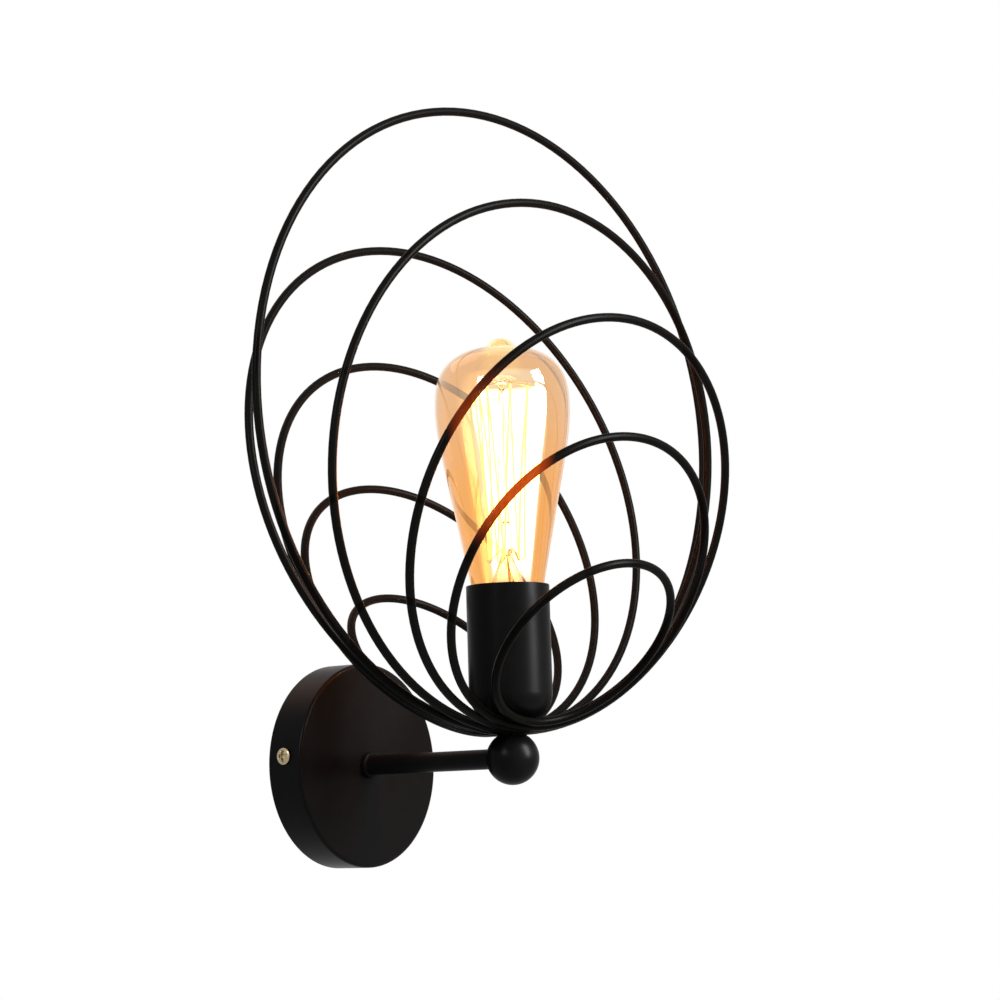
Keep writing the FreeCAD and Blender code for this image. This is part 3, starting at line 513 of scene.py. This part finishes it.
def smooth_line(points, start, end, count):
    """A line through points, of count places: a cubic between each two, by the chords' lengths, whose
    slopes and bends carry over from one to the next, with the directions start and end at its ends."""
    points = np.asarray(points, float)
    step = np.linalg.norm(np.diff(points, axis=0), axis=1)
    place = np.r_[0, np.cumsum(step)]
    last = len(points) - 1
    ties = np.eye(last + 1)
    sums = np.zeros_like(points)
    sums[0], sums[last] = start, end
    rise = np.diff(points, axis=0) / step[:, None]
    for k in range(1, last):
        ties[k, k - 1:k + 2] = step[k], 2 * (step[k - 1] + step[k]), step[k - 1]
        sums[k] = 3 * (step[k] * rise[k - 1] + step[k - 1] * rise[k])
    slope = np.linalg.solve(ties, sums)
    at = np.linspace(0, place[last], count)
    k = np.clip(np.searchsorted(place, at, side="right") - 1, 0, last - 1)
    h = step[k][:, None]
    u = (at[:, None] - place[k][:, None]) / h
    return ((1 + 2 * u) * (1 - u) ** 2 * points[k] + u ** 2 * (3 - 2 * u) * points[k + 1]
            + h * u * (1 - u) ** 2 * slope[k] + h * u ** 2 * (u - 1) * slope[k + 1])


def put_in(name, data):
    """An object with the data, put into the scene."""
    thing = bpy.data.objects.new(name, data)
    bpy.context.scene.collection.objects.link(thing)
    return thing


def mesh_piece(name, places, faces, body, slot):
    """Makes a smooth mesh in metres, gives it the finish of its slot and lets it ride on its body."""
    mesh = bpy.data.meshes.new(name)
    mesh.from_pydata(places.tolist(), [], faces)
    mesh.shade_smooth()
    mesh.materials.append(SLOT_LOOKS[slot])
    piece = put_in(name, mesh)
    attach(piece, body)
    return piece


def grid_mesh(rows):
    """A closed mesh from rings of places, one above the other, that starts and ends in a single place: the
    first and the last ring are drawn together into their middles. Rings run leftwards round the way up."""
    count, sides = rows.shape[:2]
    places = np.vstack([rows[0].mean(0)[None], rows[1:-1].reshape(-1, 3), rows[-1].mean(0)[None]])
    k, a = np.meshgrid(np.arange(count - 3), np.arange(sides), indexing="ij")
    here, above = 1 + k * sides, 1 + (k + 1) * sides
    b = (a + 1) % sides
    quads = np.stack([here + a, here + b, above + b, above + a], axis=2).reshape(-1, 4)
    a = np.arange(sides)
    b = (a + 1) % sides
    top = len(places) - 1
    last = top - sides
    foot_fan = np.stack([np.zeros(sides, int), 1 + b, 1 + a], axis=1)
    top_fan = np.stack([last + a, last + b, np.full(sides, top)], axis=1)
    return places, quads.tolist() + foot_fan.tolist() + top_fan.tolist()


def turned(outline, sides):
    """Rings of places from an outline of radius and height that runs from axis to axis. The place at angle
    a is radius times cosine a, radius times sine a, height."""
    angle = np.linspace(0, 2 * np.pi, sides, endpoint=False)
    radius, height = outline[:, :1], outline[:, 1:]
    return np.stack([radius * np.cos(angle), radius * np.sin(angle), height + 0 * angle], axis=2)


def piped(path, radius, sides):
    """Rings of places round a path: at each place a circle of the radius in the plane across the path,
    whose first direction is the one away from the upright axis. NUDGE gives a place on the axis one too."""
    along = np.gradient(path, axis=0)
    along /= np.linalg.norm(along, axis=1)[:, None]
    out = path * [1, 1, 0] + NUDGE
    out -= (out * along).sum(1)[:, None] * along
    out /= np.linalg.norm(out, axis=1)[:, None]
    across = np.cross(along, out)
    angle = np.linspace(0, 2 * np.pi, sides, endpoint=False)[None, :, None]
    rings = path[:, None] + radius * (np.cos(angle) * out[:, None] + np.sin(angle) * across[:, None])
    return np.concatenate([rings[:1] * 0 + path[0], rings, rings[:1] * 0 + path[-1]])


def at_lamp(places):
    """Millimetres round the lamp's axis as metres in the frame."""
    return (places + [0, AXIS_Y / MM, 0]) * MM


def joined(grids):
    """Several closed meshes, each given by its rings, as one."""
    places, faces, start = [], [], 0
    for rows in grids:
        own_places, own_faces = grid_mesh(rows)
        places.append(own_places)
        faces += [[corner + start for corner in face] for face in own_faces]
        start += len(own_places)
    return np.vstack(places), faces


def glass_face(inset):
    """The bulb's outer face moved in by inset, from its neck up over its shoulder to its sealed pip."""
    rim = CUP_RIM / MM
    side = np.array(GLASS_SIDE) - [inset, 0]
    side[-2:, 1] -= [inset / 2, inset]
    side[-1, 0] = GLASS_SIDE[-1][0]
    side[:, 1] += rim
    rise = np.subtract(GLASS_SIDE[1], GLASS_SIDE[0])
    rise = rise / np.linalg.norm(rise)
    slope = math.radians(GLASS_CROWN_SLOPE)
    fall = np.array([-math.cos(slope), math.sin(slope)])
    neck = np.array([GLASS_NECK_RADIUS - inset, GLASS_FOOT / MM])
    neck_top = neck + [0, GLASS_NECK_LENGTH]
    pip_foot = np.array([GLASS_PIP_FOOT[0] - inset, rim + GLASS_PIP_FOOT[1] - inset])
    pip_top = np.array([0.0, rim + GLASS_PIP_TOP - inset])
    lean = np.array([-GLASS_PIP_LEAN, 1.0]) / math.hypot(GLASS_PIP_LEAN, 1.0)
    return np.vstack([neck, smooth_line([neck_top, side[0]], [0, 1], rise, GLASS_END_ROWS),
                      smooth_line(side, rise, fall, GLASS_ROWS)[1:],
                      smooth_line([pip_foot, pip_top], lean, [-1, 0], GLASS_END_ROWS)])


def make_glass():
    """The blown bulb: the inner face down and the outer face up, as one turned outline."""
    outline = np.vstack([glass_face(GLASS_WALL)[::-1], glass_face(0)])
    places, faces = grid_mesh(turned(outline, GLASS_SIDES))
    glass = mesh_piece("blown_glass", at_lamp(places), faces, "bulb", "amber_glass")
    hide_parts("bulb_glass")


def make_stem():
    """The pressed stem: a flare that widens down to the neck, a narrow solid press, a rod and a button."""
    inside = smooth_line(STEM_INSIDE, [1, 0], [STEM_FLARE_SLOPE, -1], STEM_INSIDE_ROWS)
    outside = smooth_line(STEM_OUTSIDE, [-STEM_FLARE_SLOPE, 1], [0, 1], STEM_ROWS)
    rod = smooth_line(STEM_ROD, [0, 1], [-1, 0], STEM_ROWS)
    outline = np.vstack([(0, STEM_INSIDE[0][1]), inside, outside, rod]) + [0, CUP_RIM / MM]
    places, faces = grid_mesh(turned(outline, STEM_SIDES))
    stem = mesh_piece("pressed_stem", at_lamp(places), faces, "bulb", "clear_glass")
    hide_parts("bulb_stem")


def hook_places(radius, height, turn):
    """Places round the lamp's axis, from a radius, a height over the cup's rim and a turn in degrees."""
    turn = np.radians(turn)
    return np.stack([radius * np.cos(turn), radius * np.sin(turn), height + CUP_RIM / MM], axis=-1)


def make_threads():
    """The glowing thread, in fourteen runs between seven upper hooks and eight lower ends. Each run is a
    straight line that bows in by half a sine wave, and a running mean rounds the corners at the hooks."""
    spread = THREAD_TURN / THREAD_HOOKS
    order = np.arange(2 * THREAD_HOOKS + 1)
    hooks = np.where((order % 2 == 1)[:, None], UPPER_HOOK, LOWER_HOOK)
    ends = hook_places(hooks[:, 0], hooks[:, 1], order * spread / 2 + THREAD_START)
    share = np.linspace(0, 1, THREAD_RUN_STEPS, endpoint=False)[None, :, None]
    runs = ends[:-1, None] * (1 - share) + ends[1:, None] * share
    bow = np.random.default_rng(THREAD_SEED).uniform(*THREAD_BOWS, (len(ends) - 1, 1, 1))
    away = runs * [1, 1, 0] / np.linalg.norm(runs[..., :2], axis=2)[..., None]
    path = (runs - away * bow * np.sin(np.pi * share)).reshape(-1, 3)
    mean = np.ones(THREAD_ROUNDING) / THREAD_ROUNDING
    half = THREAD_ROUNDING // 2
    path[half:-half] = np.stack([np.convolve(path[:, axis], mean, "valid") for axis in range(3)], axis=1)
    places, faces = grid_mesh(piped(path, THREAD_RADIUS, THREAD_SIDES))
    thread = mesh_piece("carbon_thread", at_lamp(places), faces, "bulb", "glowing_thread")
    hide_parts("bulb_filament")


def hooked_wire(start, hook, way, turn):
    """A wire through the places of start, each a radius and a height, with an eye three quarters round the
    hook: at angle a it is EYE_RADIUS times sine a further out and EYE_RADIUS times cosine a along the way,
    1 for up and -1 for down."""
    angle = np.linspace(0, 1.5 * np.pi, EYE_STEPS)
    eye = np.stack([hook[0] + EYE_RADIUS * np.sin(angle), hook[1] + way * EYE_RADIUS * np.cos(angle)], axis=1)
    radius, height = np.vstack([start, eye]).T
    return piped(hook_places(radius, height, turn), SUPPORT_RADIUS, SUPPORT_SIDES)


def make_supports():
    """The wires that hold the thread: from the button out to the upper hooks and from the press out to the
    lower ones, each with a small eye round the thread, and up the flare the two lead wires to its ends."""
    spread = THREAD_TURN / THREAD_HOOKS
    wires = [hooked_wire(UPPER_SUPPORT, UPPER_HOOK, 1, THREAD_START + (k + 0.5) * spread)
             for k in range(THREAD_HOOKS)]
    wires += [hooked_wire(LOWER_SUPPORT, LOWER_HOOK, -1, THREAD_START + k * spread)
              for k in range(1, THREAD_HOOKS)]
    radius, height = smooth_line(LEAD_WIRE, [0, 1], [LEAD_END_SLOPE, -1], LEAD_STEPS).T
    wires += [piped(hook_places(radius, height, turn), LEAD_RADIUS, LEAD_SIDES)
              for turn in (THREAD_START, THREAD_START + THREAD_TURN)]
    places, faces = joined(wires)
    supports = mesh_piece("thread_supports", at_lamp(places), faces, "bulb", "fine_wire")
    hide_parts("bulb_filament_supports")


def make_twisting_leads():
    """The live and the neutral lead, in their solids' shapes. They pass up the nipple from the arm to the
    holder."""
    for name, slot in LEADS:
        mesh = NODES[name].data.copy()
        form = bmesh.new()
        form.from_mesh(mesh)
        bmesh.ops.remove_doubles(form, verts=form.verts, dist=WELD_DISTANCE * MM)
        form.to_mesh(mesh)
        form.free()
        mesh.shade_smooth()
        lead = put_in(name + "_twisting", mesh)
        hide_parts(name)
        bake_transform(lead)


def make_screw_cap():
    """The thin screw cap. Its outer radius at height h and angle a is the crest's, less the root's depth
    where the wave of h over the pitch less a over a turn is low. The wave starts as plain root over the
    first half pitch and the root fades out below the neck. The inner face is the same line, one wall's
    thickness in."""
    low, high = (corner.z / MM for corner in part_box("bulb_cap"))
    angle = np.linspace(0, 2 * np.pi, CAP_SIDES, endpoint=False)
    height = np.linspace(0, high - low, CAP_ROWS)[:, None]
    wave = 0.5 + 0.5 * np.cos(2 * np.pi * height / CAP_PITCH - angle)
    started = np.clip(height / (CAP_PITCH / 2), 0, 1)
    ended = np.clip((height / CAP_PITCH - CAP_TURNS) / CAP_FADE_SHARE + 1, 0, 1)
    radius = CAP_RADIUS - CAP_ROOT_DEPTH * (1 - wave * started) * (1 - ended)
    rise = low + height + 0 * angle
    inner_rise = np.maximum(rise, low + CAP_WALL)
    middle = 0 * angle[None]
    out = np.concatenate([middle, radius, (radius - CAP_WALL)[::-1], middle])
    up = np.concatenate([middle + low, rise, inner_rise[::-1], middle + low + CAP_WALL])
    places, faces = grid_mesh(np.stack([out * np.cos(angle), out * np.sin(angle), up], axis=2))
    cap = mesh_piece("screw_cap", at_lamp(places), faces, "bulb", "bulb_cap_metal")
    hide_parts("bulb_cap")


def cross_recess(radius, angle):
    """How deep the recess is at a radius and an angle of the head. The value bar is 1 on the edge of the
    nearer of two crossed bars and less inside it, and round that edge the depth falls to nothing."""
    along, over = np.abs(radius * np.cos(angle)), np.abs(radius * np.sin(angle))
    bar = np.minimum(np.maximum(along / RECESS_REACH, over / RECESS_HALF_WIDTH),
                     np.maximum(over / RECESS_REACH, along / RECESS_HALF_WIDTH))
    return np.clip((RECESS_LIP_SHARE - bar) / RECESS_SLOPE_SHARE, 0, 1) * RECESS_DEPTH


def side_screw(name, body, way):
    """A small pan-headed screw with a cross recess, its head towards the way, 1 or -1 along X. The head's
    height falls from the middle with the square of the radius, less the recess. The shank's radius follows
    a saw-toothed wave that climbs one pitch for each turn."""
    low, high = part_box(name)
    centre = (low + high) / 2 / MM
    tip = (high.x if way < 0 else low.x) / MM
    seat = way * SCREW_SEAT
    length = abs(seat - tip)
    angle = np.linspace(0, 2 * np.pi, SCREW_SIDES, endpoint=False)
    height = np.linspace(-length, 0, SCREW_SHANK_ROWS)[:, None]
    wave = np.abs(((height / SCREW_PITCH - angle / (2 * np.pi)) % 1) - 0.5) * 2
    point = np.clip((height + length) / SCREW_POINT_LENGTH, SCREW_POINT_SHARE, 1)
    threaded = height < -SCREW_PLAIN_LENGTH
    shank = (SCREW_RADIUS - SCREW_THREAD_DEPTH * (1 - wave) * threaded) * point
    rim = (np.array(SCREW_HEAD_RIM) + [SCREW_HEAD_RADIUS, 0])[:, :, None] + 0 * angle
    radius = np.linspace(1, 0, SCREW_DOME_ROWS)[:, None] * (SCREW_HEAD_RADIUS - SCREW_DOME_INSET)
    dome = SCREW_HEAD_HEIGHT - (radius / SCREW_HEAD_RADIUS) ** 2 * SCREW_DOME_FALL
    rise = np.concatenate([height + 0 * angle, rim[:, 1], dome - cross_recess(radius, angle)])
    out = np.concatenate([shank, rim[:, 0], radius + 0 * angle])
    rows = np.stack([out * np.cos(angle), out * np.sin(angle), rise], axis=2)
    places, faces = grid_mesh(np.concatenate([rows[:1] * [0, 0, 1], rows]))
    x, y, z = places.T
    placed = np.stack([seat + way * z, centre[1] + x, centre[2] + way * y], axis=1) * MM
    screw = mesh_piece(name + "_cross_headed", placed, faces, body, "nickel_steel")
    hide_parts(name)


# Stage, lamps and camera

# The stage: how strong the pale light all round is, the floor's height and radius in metres, and how much
# of the floor shows plain white
WORLD_LEVEL = 0.55
FLOOR_Z = -0.9
FLOOR_RADIUS = 3.0
FLOOR_SIDES = 64
FLOOR_GLOW = 0.8

# The soft boxes: shares of the way to the camera's right, up and back, the distance from the cage's middle
# and the size in metres, the power in watts and the colour
CAGE_MIDDLE = Vector((0, AXIS_Y, 100 * MM))
SOFT_BOXES = {
    "right_box": ((0.885, 0.46, 0.27), 1.2, (0.40, 0.85), 84.0, (1.0, 1.0, 1.0)),
    "left_box": ((-0.60, 0.50, 0.70), 1.4, (0.3, 0.5), 16.0, (1.0, 1.0, 1.0)),
    "back_box": ((-0.50, 0.75, -0.50), 1.2, (0.7, 0.7), 2.4, (1.0, 0.5, 0.3)),
}

# The light of the threads: power in watts, colour, and size and height over the cup's rim in millimetres
BULB_POWER = 4.0
BULB_COLOUR = (1.0, 0.5, 0.2)
BULB_SOURCE_RADIUS = 14.0
BULB_SOURCE_RISE = 55.0

# The camera, measured from the photograph: its turn about the upright, its lift and its roll in degrees,
# where the cage's lowest point lies on the picture, its distance from there and the lens in pixels.
CAMERA_TURN = -51.574
CAMERA_LIFT = -7.040
CAMERA_ROLL = -1.690
CAGE_FOOT_PIXEL = (511.93, 731.28)
CAGE_FOOT = Vector((0, AXIS_Y, 12.5 * MM))
CAMERA_DISTANCE = 1224.39 * MM
LENS_PIXELS = 2624.71
PICTURE_PIXELS = 1000
SENSOR_WIDTH_MM = 36.0
NEAREST_SEEN = 0.01


def white_where_seen(tree, shade, lit):
    """A shader that is plain white to the eye, in mirrors and through glass, and elsewhere as lit."""
    path = add(tree, "LightPath").outputs
    eye = add(tree, "Math", [(0, path["Is Camera Ray"]), (1, path["Is Glossy Ray"])], operation="MAXIMUM")
    eye = add(tree, "Math", [(0, eye.outputs[0]), (1, path["Is Transmission Ray"])], operation="MAXIMUM")
    return add(tree, "MixShader", [(0, eye.outputs[0]), (1, lit), (2, shade)]).outputs[0]


def make_world():
    """An even pale studio, seen as plain white."""
    world = bpy.data.worlds.new("pale_studio")
    world.use_nodes = True
    tree = world.node_tree
    tree.nodes.clear()
    seen = add(tree, "Background", [("Color", linear("#FFFFFF")), ("Strength", 1.0)])
    lit = add(tree, "Background", [("Color", linear("#FFFFFF")), ("Strength", WORLD_LEVEL)])
    shade = white_where_seen(tree, seen.outputs[0], lit.outputs[0])
    add(tree, "OutputWorld", [("Surface", shade)])
    bpy.context.scene.world = world


def pale_floor_paint():
    """Matt white emulsion on a studio floor: nearly as white as the studio round it, with soft shadows."""
    material, tree, shader = surface("pale_floor_paint", [("Roughness", 0.8)])
    varied(tree, shader, grain(tree, 200.0), "#F4F4F4", "#F7F7F7")
    lit = add(tree, "Emission", [("Color", linear("#FFFFFF")), ("Strength", 1.0)]).outputs[0]
    shade = white_where_seen(tree, lit, shader.outputs[0])
    mix = add(tree, "MixShader", [(0, FLOOR_GLOW), (1, shader.outputs[0]), (2, shade)])
    tree.links.new(mix.outputs[0], tree.nodes["Material Output"].inputs["Surface"])
    return material


def make_floor():
    """A flat disc well below the lamp. It keeps the lamp's shadow."""
    angle = np.linspace(0, 2 * np.pi, FLOOR_SIDES, endpoint=False)
    rim = np.c_[FLOOR_RADIUS * np.cos(angle), FLOOR_RADIUS * np.sin(angle), FLOOR_Z + 0 * angle]
    mesh = bpy.data.meshes.new("studio_floor")
    mesh.from_pydata(rim.tolist(), [], [list(range(FLOOR_SIDES))])
    mesh.materials.append(pale_floor_paint())
    floor = put_in("studio_floor", mesh)


def soft_box(name, shares, distance, size, power, colour):
    """A flat lamp at a distance from the cage's middle, which it faces."""
    way = sum((axis * share for axis, share in zip(camera_axes(), shares)), Vector()).normalized()
    lamp = bpy.data.lights.new(name, "AREA")
    lamp.shape = "RECTANGLE"
    lamp.size, lamp.size_y = size
    lamp.energy = power
    lamp.color = colour
    holder = put_in(name, lamp)
    holder.location = CAGE_MIDDLE + way * distance
    holder.rotation_euler = way.to_track_quat("Z", "Y").to_euler()


def bulb_light():
    """The light of the threads, as one small warm lamp in the bulb's middle."""
    lamp = bpy.data.lights.new("bulb_light", "POINT")
    lamp.color = BULB_COLOUR
    lamp.energy = BULB_POWER
    lamp.shadow_soft_size = BULB_SOURCE_RADIUS * MM
    holder = put_in("bulb_light", lamp)
    holder.location = (0, AXIS_Y, CUP_RIM + BULB_SOURCE_RISE * MM)
    holder.visible_camera = False
    holder.visible_transmission = False


def camera_axes():
    """The camera's right, up and back directions."""
    turn, lift, roll = (math.radians(a) for a in (CAMERA_TURN, CAMERA_LIFT, CAMERA_ROLL))
    back = Vector((math.sin(turn) * math.cos(lift), -math.cos(turn) * math.cos(lift), math.sin(lift)))
    level = Vector((math.cos(turn), math.sin(turn), 0))
    plumb = back.cross(level)
    right = level * math.cos(roll) + plumb * math.sin(roll)
    up = plumb * math.cos(roll) - level * math.sin(roll)
    return right, up, back


def make_camera():
    """The camera, placed so that the cage's lowest point falls on its pixel."""
    right, up, back = camera_axes()
    half = PICTURE_PIXELS / 2
    aside = (CAGE_FOOT_PIXEL[0] - half) * CAMERA_DISTANCE / LENS_PIXELS
    above = (half - CAGE_FOOT_PIXEL[1]) * CAMERA_DISTANCE / LENS_PIXELS
    data = bpy.data.cameras.new("camera")
    data.sensor_width = SENSOR_WIDTH_MM
    data.lens = LENS_PIXELS / PICTURE_PIXELS * SENSOR_WIDTH_MM
    data.clip_start = NEAREST_SEEN
    camera = put_in("camera", data)
    place = CAGE_FOOT - right * aside - up * above + back * CAMERA_DISTANCE
    camera.matrix_world = Matrix.Translation(place) @ Matrix((right, up, back)).transposed().to_4x4()
    bpy.context.scene.camera = camera


dress_solids()
make_glass()
make_stem()
make_threads()
make_supports()
make_screw_cap()
make_twisting_leads()
side_screw("canopy_screw_left", "screw_left", -1)
side_screw("canopy_screw_right", "screw_right", 1)
make_world()
make_floor()
for name, setting in SOFT_BOXES.items():
    soft_box(name, *setting)
bulb_light()
make_camera()

bpy.context.scene.view_settings.view_transform = "Standard"
